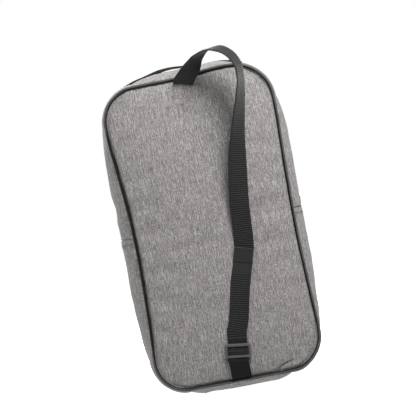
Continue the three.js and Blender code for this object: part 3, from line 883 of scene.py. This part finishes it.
def stuffed(side):
    """How far stuffing moves a panel's cloth off its plain crown, by cloth simulation."""
    x, z = panel_grid(1)
    rows, columns = x.shape
    base = side * (HALF_DEPTH + crown(x, z))
    ripple = 0.5 * soft_noise(x / 23, z / 31, 11 + side)
    points = np.stack([x, base + side * ripple, z], -1).reshape(-1, 3) * MM
    i, k = np.mgrid[0 : rows - 1, 0 : columns - 1]
    a = (i * columns + k).ravel()
    faces = np.stack([a, a + 1, a + columns + 1, a + columns], 1)
    if side > 0:
        faces = faces[:, ::-1]
    mesh = bpy.data.meshes.new("stuffing")
    mesh.from_pydata(points.tolist(), [], faces.tolist())
    cloth_object = new_object("stuffing", mesh)
    scene = bpy.context.scene
    edge = np.zeros((rows, columns), bool)
    edge[[0, -1]], edge[:, [0, -1]] = True, True
    group = cloth_object.vertex_groups.new(name="seam")
    group.add(np.flatnonzero(edge.ravel()).tolist(), 1.0, "REPLACE")
    settings = cloth_object.modifiers.new("cloth", "CLOTH").settings
    settings.effector_weights.gravity = 0
    for key, value in CLOTH.items():
        setattr(settings, key, value)
    for frame_number in range(1, STUFFING_FRAMES + 1):
        scene.frame_set(frame_number)
    evaluated = cloth_object.evaluated_get(bpy.context.evaluated_depsgraph_get())
    blown = np.empty(rows * columns * 3)
    evaluated.data.vertices.foreach_get("co", blown)
    moved = blown.reshape(rows, columns, 3)[..., 1] / MM - base
    bpy.data.objects.remove(cloth_object)
    scene.frame_set(1)
    return STUFFING_SHARE * np.clip(side * moved, -3, 4)


# A shallow crease near the lower right corner of the back: x and z along it.
CREASE = np.array([(46.0, 20.0), (53.0, 22.6), (60.0, 26.5), (68.0, 29.0), (79.0, 30.5)])


def crease_dent(x, z):
    line = spline(CREASE, 12)
    share = np.linspace(0, 1, len(line))
    depth = 0.9 * np.sin(np.pi * np.clip(share * 1.15, 0, 1)) ** 0.5
    gap = np.hypot(x[..., None] - line[:, 0], z[..., None] - line[:, 1])
    return (depth * hump(gap / 3.0)).max(-1)


def panel_mesh(side, x, z, outer, inner, start=0, apart=0):
    """A closed panel between two surfaces. The weave of its back and edge lies apart from its face."""
    rings = [np.stack([x, side * outer, z], -1), np.stack([x, side * inner, z], -1)[:, ::-1]]
    across = np.hstack([x, x[:, ::-1] + apart, x[:, :1] + 2 * apart]) + start
    panel = Mesh()
    panel.loft(np.hstack(rings), across, np.hstack([z, z[:, ::-1], z[:, :1]]))
    return panel


def make_pad(name, side, seed, body, *nodes):
    """A panel: melange cloth and its foam, crowned by the stuffing, tucked in at its seam."""
    x, z = panel_grid(2)
    inset = seam_inset(x, z)
    lumps = doubled(stuffed(side))
    tuck = 1.9 * (1 - ease((inset - 1.6) / 3.2))
    gather = soft_noise(seam_run(x, z) * 128 / PERIMETER, seed + 0 * x, seed)
    pucker = 0.32 * gather * hump((inset - 5) / 5)
    slack = 0.35 * soft_noise(x / 34, z / 46, seed + 1) * ease(inset / 30)
    outer = HALF_DEPTH + crown(x, z) + lumps - tuck + pucker + slack
    if side < 0:
        outer = outer - crease_dent(x, z)
    inner = HALF_DEPTH + crown(x, z) - PAD
    pad = panel_mesh(side, x, z, outer, inner, 1000 * (side > 0), 400)
    pad.lay(name, MELANGE, body, *nodes)


def make_panel_lining(name, side, seed, body, *nodes):
    x, z = panel_grid(1, 3.2)
    slack = 0.8 * np.abs(soft_noise(x / 21, z / 34, seed)) * ease((seam_inset(x, z) - 3) / 12)
    outer = HALF_DEPTH + crown(x, z) - LINING_DEPTH - slack
    panel_mesh(side, x, z, outer, outer - LINING).lay(name, LINING_CLOTH, body, *nodes)


def make_panels():
    halves = ("front_panel_lower", "front_panel_flap")
    padded = [half + layer for half in halves for layer in ("", "_foam")]
    lined = [half + "_lining" for half in halves]
    make_pad("back_panel_pad", -1, 21, "bag", "back_panel", "back_panel_foam")
    make_pad("front_panel_pad", 1, 31, FOLD, *padded)
    make_panel_lining("back_lining", -1, 41, "bag", "back_panel_lining")
    make_panel_lining("front_lining", 1, 43, FOLD, *lined)


# ---- side strips ----

EDGE_Y = 54.8              # strip edges are drawn in under the piping
ZIP_EDGE_BACK, ZIP_EDGE_FRONT = ZIP_Y - 6.0, ZIP_Y + 6.0
STRIP_TOP = SPLIT_Z + 0.3  # where the upper strips start
LAP = 8.2                  # the lower strip is lapped over the upper ones and stitched down
LAP_TOP = SPLIT_Z + 0.9
STITCH_LINE = 6.8
ZIP_STITCH = 2.8           # from the folded edge beside the zip
STRIP_GRAIN = 0.5          # the strips are cut where the yarn is coarser across


def from_ends(loop):
    s = run_length(loop[:, :2])
    return s, np.minimum(s, s[-1] - s)[:, None]


def slack_cloth(s, y, seed):
    """Soft waves of a sewn strip, gathered along its seams."""
    inside = ease((EDGE_Y - np.abs(y)) / 12)
    waves = 0.95 * soft_noise(s / 41, y / 27, seed) + 0.5 * soft_noise(s / 13, y / 12, seed + 1)
    near = hump((EDGE_Y - np.abs(y) - 3) / 4.5)
    gather = 0.3 * soft_noise(s / 8.8, np.sign(y) * 3.3, seed + 2)
    return waves * inside + gather * near


def drawn_in(y):
    return -1.9 * (1 - ease((EDGE_Y - np.abs(y)) / 3.6))


def turned_edge(inside):
    """The folded edge beside the zip: its round, and the groove of its stitching."""
    return -0.9 * (1 - ease(inside / 1.4)) - 0.35 * hump((inside - ZIP_STITCH) / 0.9)


def strip(loop, y, height, thick):
    """A strip of cloth swept along the seam line, between two rows of heights."""
    s = run_length(loop[:, :2])
    outer = gusset_points(loop, y[None], height)
    inner = gusset_points(loop, y[None, ::-1], height[:, ::-1] - thick)
    girth = np.r_[y, 200 + y[::-1], 400 + y[0]] * STRIP_GRAIN
    cloth = Mesh()
    cloth.loft(np.hstack([outer, inner]), girth, s)
    return cloth


def make_gussets():
    lower = half_loop(-1, LAP_TOP)
    upper = half_loop(1, STRIP_TOP)

    s, end = from_ends(lower)
    y = np.r_[np.linspace(-EDGE_Y, -46, 9), np.linspace(-43.5, 43.5, 34), np.linspace(46, EDGE_Y, 9)]
    lap = 0.4 * (1 - ease((end - LAP) / 1.3))
    groove = -0.4 * hump((end - STITCH_LINE) / 0.9)
    height = slack_cloth(s[:, None], y[None], 51) * ease(end / 10) + drawn_in(y) + lap + groove
    strip(lower, y, height, FABRIC).lay("lower_side_strip", MELANGE, "bag", "lower_gusset")

    s, end = from_ends(upper)
    under = -1.5 * (1 - ease((end - 0.8) / 1.6))
    y = np.r_[np.linspace(-EDGE_Y, -46, 9), np.linspace(-43.5, 18, 24), np.linspace(19, ZIP_EDGE_BACK, 8)]
    height = slack_cloth(s[:, None], y[None], 61) * ease((ZIP_EDGE_BACK - y) / 12)
    height = height * ease(end / 10) + drawn_in(y) + turned_edge(ZIP_EDGE_BACK - y) + under
    strip(upper, y, height, FABRIC).lay("upper_side_strip", MELANGE, "bag", "upper_gusset_back")

    y = np.r_[np.linspace(ZIP_EDGE_FRONT, 41, 9), np.linspace(43, 47, 3), np.linspace(48, EDGE_Y, 8)]
    gather = 0.3 * soft_noise(s[:, None] / 9.3, 1.7, 71) * hump((y - 51) / 4)
    height = gather * ease(end / 10) + drawn_in(y) + turned_edge(y - ZIP_EDGE_FRONT) + under
    strip(upper, y, height, FABRIC).lay("flap_side_strip", MELANGE, FOLD, "upper_gusset_front")


def make_gusset_linings():
    for name, up, start, high, node in (
        ("lower_strip_lining", -1, SPLIT_Z - 0.3, 53.0, "lower_gusset_lining"),
        ("upper_strip_lining", 1, STRIP_TOP, 15.0, "upper_gusset_back_lining"),
    ):
        loop = half_loop(up, start, 6.0, 5.0)
        s, end = from_ends(loop)
        y = np.linspace(-53, high, int((53 + high) / 4.4))
        slack = 0.7 * np.abs(soft_noise(s[:, None] / 24, y / 19, 81 + up)) * ease((53 - np.abs(y)) / 14)
        tucked = 1.3 * (1 - ease((end - 2) / 6))
        strip(loop, y, -1.5 - slack - tucked, LINING).lay(name, LINING_CLOTH, "bag", node)


# ---- piping and bound seams ----

TUBE, FLANGE = 1.6, 2.5   # the tube's radius, and how far its flange reaches inwards
LEFT_PIPING_SHADE = 1.9         # painted shade: down the left side the dark band reaches further round the tube


def piping_section():
    """Points of the section: outwards from the seam line, then proud of it."""
    angle = np.radians(np.linspace(-150, 196, 15))
    tube = np.stack([0.2 + TUBE * np.cos(angle), 0.2 + TUBE * np.sin(angle)], 1)
    flange = [(-1.6, -1.05), (-2.1, -1.2), (-FLANGE, -1.4), (-FLANGE, -2.1), (-1.6, -2.1)]
    return np.vstack([tube, flange])


def tape_section():
    """A bound seam allowance, thin and slanting into the bag."""
    angle = np.linspace(0, 2 * np.pi, 10, endpoint=False)
    wide, thin, turn = 3.6 * np.cos(angle), 1.1 * np.sin(angle), math.radians(135)
    along, over = math.cos(turn), math.sin(turn)
    return np.stack([wide * along - thin * over - 5.0, wide * over + thin * along - 9.5], 1)


def seam_trim(name, side, section, surface, body, *nodes):
    """A trim swept round a panel's seam."""
    loop = full_loop(2.6)
    around = np.vstack([loop, loop[:1]])
    s = run_length(around[:, :2])
    plump = 1 + 0.3 * ease((np.abs(loop[:, 1:2] - CENTRE_Z) - 130) / 40)
    out = plump * section[None, :, 0] + 0.07 * soft_noise(s[:-1, None] / 12, 0.5, 7)
    x, z = off_seam(loop, out)
    proud = HALF_DEPTH + plump * section[None, :, 1]
    rings = np.stack(np.broadcast_arrays(x, side * proud, z), -1)
    girth = run_length(np.vstack([section, section[:1]]))
    x, z = around[:, 0], around[:, 1]
    # painted shade down the left side, which faces away from the key light
    left = ease((-x - 78) / 26) * ease((z - 40) / 50) * ease((370 - z) / 50)
    trim = Mesh()
    trim.loft(rings, girth + LEFT_PIPING_SHADE * left[:, None], s, closed=True)
    trim.lay(name, surface, body, *nodes)


def make_piping():
    cord, tape = piping_section(), tape_section()
    pipings, bindings = (
        [f"front_{part}_{half}" for half in ("lower", "flap")] for part in ("piping", "seam_binding")
    )
    seam_trim("back_piping_cord", -1, cord, PIPING, "bag", "back_piping")
    seam_trim("front_piping_cord", 1, cord, PIPING, FOLD, *pipings)
    seam_trim("back_seam_tape", -1, tape, BINDING, "bag", "back_seam_binding")
    seam_trim("front_seam_tape", 1, tape, BINDING, FOLD, *bindings)


# ---- stitching ----


def gusset_line(loop, y, height):
    """A line on the side strips, with the directions out of the cloth."""
    low = gusset_points(loop, np.full((1, 1), y), height)[:, 0]
    high = gusset_points(loop, np.full((1, 1), y), height + 1.0)[:, 0]
    return low, unit(high - low + 1e-9)


def make_seam_stitches():
    upper = half_loop(1, STRIP_TOP, 9.0, 2.0)
    for name, y, body in (
        ("zip_stitching_back", ZIP_EDGE_BACK - ZIP_STITCH, "bag"),
        ("zip_stitching_front", ZIP_EDGE_FRONT + ZIP_STITCH, FOLD),
    ):
        row = Mesh()
        stitches(row, *gusset_line(upper, y, -0.25))
        row.lay(name, THREAD, body)
    laps = Mesh()
    y = np.linspace(-52, 52, 60)[None]
    for side in (1, -1):
        station = side_stations(np.array([LAP_TOP - STITCH_LINE])) * np.array([side, 1, side, 1, 1])
        line, over = (gusset_points(station, y, height)[0] for height in (0.4, 1.4))
        stitches(laps, line, unit(over - line))
    laps.lay("side_seam_stitching", THREAD, "bag")


# ---- zip ----

TEETH_TOP = 0.8
TOOTH_PITCH = 2.4
TAPE_TOP, TAPE_THICK, TAPE_HALF = -2.0, 0.6, 13.0


def zip_points(loop, reach, height):
    """Points beside the zip's middle line, reach from it and height over the cloth."""
    y = ZIP_Y + reach + ZIP_LEAN * (height - TEETH_TOP)
    return gusset_points(loop, y[None], height[None] + 0 * y[None])


def make_tape(name, side, node, body):
    loop = half_loop(1, STRIP_TOP, 3.0, 3.0)
    s = run_length(loop[:, :2])
    reach = np.linspace(0.35, TAPE_HALF, 9) * side
    cord_ridge = 0.35 * hump((np.abs(reach) - 1.2) / 0.9)
    outer = zip_points(loop, reach, TAPE_TOP + cord_ridge)
    inner = zip_points(loop, reach[::-1], TAPE_TOP - TAPE_THICK + 0 * reach)
    tape = Mesh()
    girth = np.r_[reach, reach[::-1] + 40, reach[0] + 80]
    tape.loft(np.hstack([outer, inner]), girth, s)
    tape.lay(name, ZIP_TAPE, body, node)


def make_teeth(name, side, node, body):
    """Moulded teeth on one tape, their rounded heads reaching past the middle line."""
    dense = half_loop(1, SPLIT_Z + 1.0, 3.0, 1.0)
    s = run_length(dense[:, :2])
    section = np.array([
        (-0.75, -0.1), (-0.55, 0.55), (0.3, 0.8), (2.6, 0.8), (3.2, 0.25),
        (3.2, -1.2), (2.6, -1.7), (0.3, -1.7), (-0.55, -1.45), (-0.75, -0.8),
    ])
    teeth = Mesh()
    offsets = np.array([-0.62, -0.45, 0.45, 0.62])
    shrink = np.array([0.78, 1, 1, 0.78])
    centre = section.mean(0)
    first = 1.0 if side < 0 else 1.0 + TOOTH_PITCH / 2
    for at in np.arange(first, s[-1] - 1, TOOTH_PITCH):
        rings = []
        for offset, size in zip(offsets, shrink):
            row = rows_at([at + offset], s, dense)
            shape = centre + (section - centre) * size
            rings.append(zip_points(row, side * shape[:, 0], shape[:, 1])[0])
        teeth.loft(np.array(rings), np.linspace(0, 10, len(section) + 1), at + offsets)
    teeth.lay(name, TEETH, body, node, smooth=False)


def make_zip():
    make_tape("zip_tape_bag_side", -1, "zip_tape_back", "bag")
    make_tape("zip_tape_flap_side", 1, "zip_tape_front", FOLD)
    make_teeth("zip_teeth_bag_side", -1, "zip_teeth_back", "bag")
    make_teeth("zip_teeth_flap_side", 1, "zip_teeth_front", FOLD)


# ---- hard parts ----


def moulded(source, name, surface, voxel, rounds, body, node):
    """A hard piece from a rough solid, its edges rounded as a mould or die leaves them."""
    material, slot = surface
    made = new_object(name, source)
    remesh = made.modifiers.new("remesh", "REMESH")
    remesh.mode = "VOXEL"
    remesh.voxel_size = voxel * MM
    rounding = made.modifiers.new("rounding", "SMOOTH")
    rounding.factor = 0.5
    rounding.iterations = rounds
    shaped = made.evaluated_get(bpy.context.evaluated_depsgraph_get())
    mesh = bpy.data.meshes.new_from_object(shaped)
    made.modifiers.clear()
    made.data = mesh
    mesh.materials.clear()
    mesh.materials.append(material)
    mesh.polygons.foreach_set("use_smooth", [True] * len(mesh.polygons))
    settle(made, slot, body, node)


# The buckle's blocks, rails and then bars: the middle and half size across, in depth and in length.
# Its grip bar, the third, is sunk behind the others.
BUCKLE_BLOCKS = [
    (-14.8, 1.4, -0.2, 2.0, 13.6, 8.4), (-14.652, 1.2, 0.7, 1.4, 2.6, 4.6),
    (14.8, 1.4, -0.2, 2.0, 13.6, 8.4), (14.652, 1.2, 0.7, 1.4, 2.6, 4.6),
    (0, 14.6, 0.4, 1.5, BUCKLE_BARS[0], 1.3), (0, 14.6, -0.6, 1.75, BUCKLE_BARS[1], 1.5),
    (0, 14.6, 0.7, 1.2, BUCKLE_BARS[2], 1.1), (0, 14.6, -0.4, 2.0, BUCKLE_BARS[3], 1.6),
]


def buckle_blanks():
    across, inward, up = buckle_axes()
    points, faces = [], []
    for x, half_x, depth, half_depth, length, half_length in BUCKLE_BLOCKS:
        first = len(points)
        for i, j, k in np.ndindex(2, 2, 2):
            at = across * (x + half_x * (2 * i - 1)) + inward * (depth + half_depth * (2 * j - 1))
            points.append((BUCKLE_ORIGIN + at + up * (length + half_length * (2 * k - 1))) * MM)
        for face in ((0, 1, 3, 2), (4, 6, 7, 5), (0, 4, 5, 1), (2, 3, 7, 6), (0, 2, 6, 4), (1, 5, 7, 3)):
            faces.append([first + n for n in face])
    mesh = bpy.data.meshes.new("buckle_blanks")
    mesh.from_pydata([tuple(p) for p in points], [], faces)
    return mesh


def make_hard_parts():
    moulded(buckle_blanks(), "ladder_lock_buckle", RESIN, 0.3, 7, "buckle", "strap_buckle")
    for node, name, body in (
        ("zip_slider", "zip_slider_body", "slider"),
        ("zip_pull_tab", "zip_pull", "pull"),
    ):
        moulded(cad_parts[node].data.copy(), name, METAL, 0.2, 3, body, node)


# ---- webbing at the buckle, and the carry handle ----


def make_anchor():
    wrap = [on_buckle(depth, length) for depth, length in buckle_wrap(BUCKLE_BARS[0], 3.1)]
    legs = [(1.5, -57.6, 14.2), (1.4, -58.9, 26), *wrap, (1.4, -63, 26), (1.5, -59.6, 14.2)]
    points = spline(legs, 8)
    lean = buckle_axes()[0]
    level = ease((points[:, 2] - 15) / 17)[:, None]
    across = -(lean * level + np.array([1.0, 0, 0]) * (1 - level))
    anchor = Mesh()
    ribbon(anchor, points, across, rib=0.08)
    anchor.lay("anchor_webbing", SMOOTH_WEBBING, "bag", "strap_anchor_loop", shell=False)


# The handle from left to right: x and z of its middle, then its roll in degrees.
HANDLE_Y = -2.0
HANDLE_ROUTE = [
    (-78.5, 407.4, 0), (-72, 409.6, 2), (-63.5, 412.3, 4), (-51.3, 414.9, 5), (-40, 417.3, 7),
    (-32, 419.4, 6), (-24, 420.9, 3), (-14, 421.6, 1), (0, 420.8, 0), (14, 419.0, 0),
    (28, 418.2, 0), (42, 418.5, 0), (54, 417.9, 0), (64, 416.0, 0), (72, 413.6, 0), (79, 411.2, 0),
]


def make_handle():
    x, z, roll = np.array(HANDLE_ROUTE, float).T
    roll = np.radians(roll)
    route = spline(np.stack([x, HANDLE_Y + 0 * x, z, 0 * x, np.cos(roll), -np.sin(roll)], 1))
    handle = Mesh()
    laid = ribbon(handle, route[:, :3], route[:, 3:], thick=1.6)
    rows = Mesh()
    end = laid["at"][-1]
    for a, b in ((1.5, 18.5), (end - 18.5, end - 1.5)):
        p, q, r, t = (a, -9.5), (a, 9.5), (b, -9.5), (b, 9.5)
        sewn(rows, laid, (p, q), (r, t), (p, r), (q, t), (p, t), (q, r))
    rows.lay("handle_stitching", BLACK_THREAD, "bag", shell=False)
    handle.lay("carry_handle_webbing", WEBBING, "bag", "carry_handle", shell=False)


make_panels()
make_gussets()
make_gusset_linings()
make_piping()
make_seam_stitches()
make_zip()
make_hard_parts()
make_anchor()
make_handle()
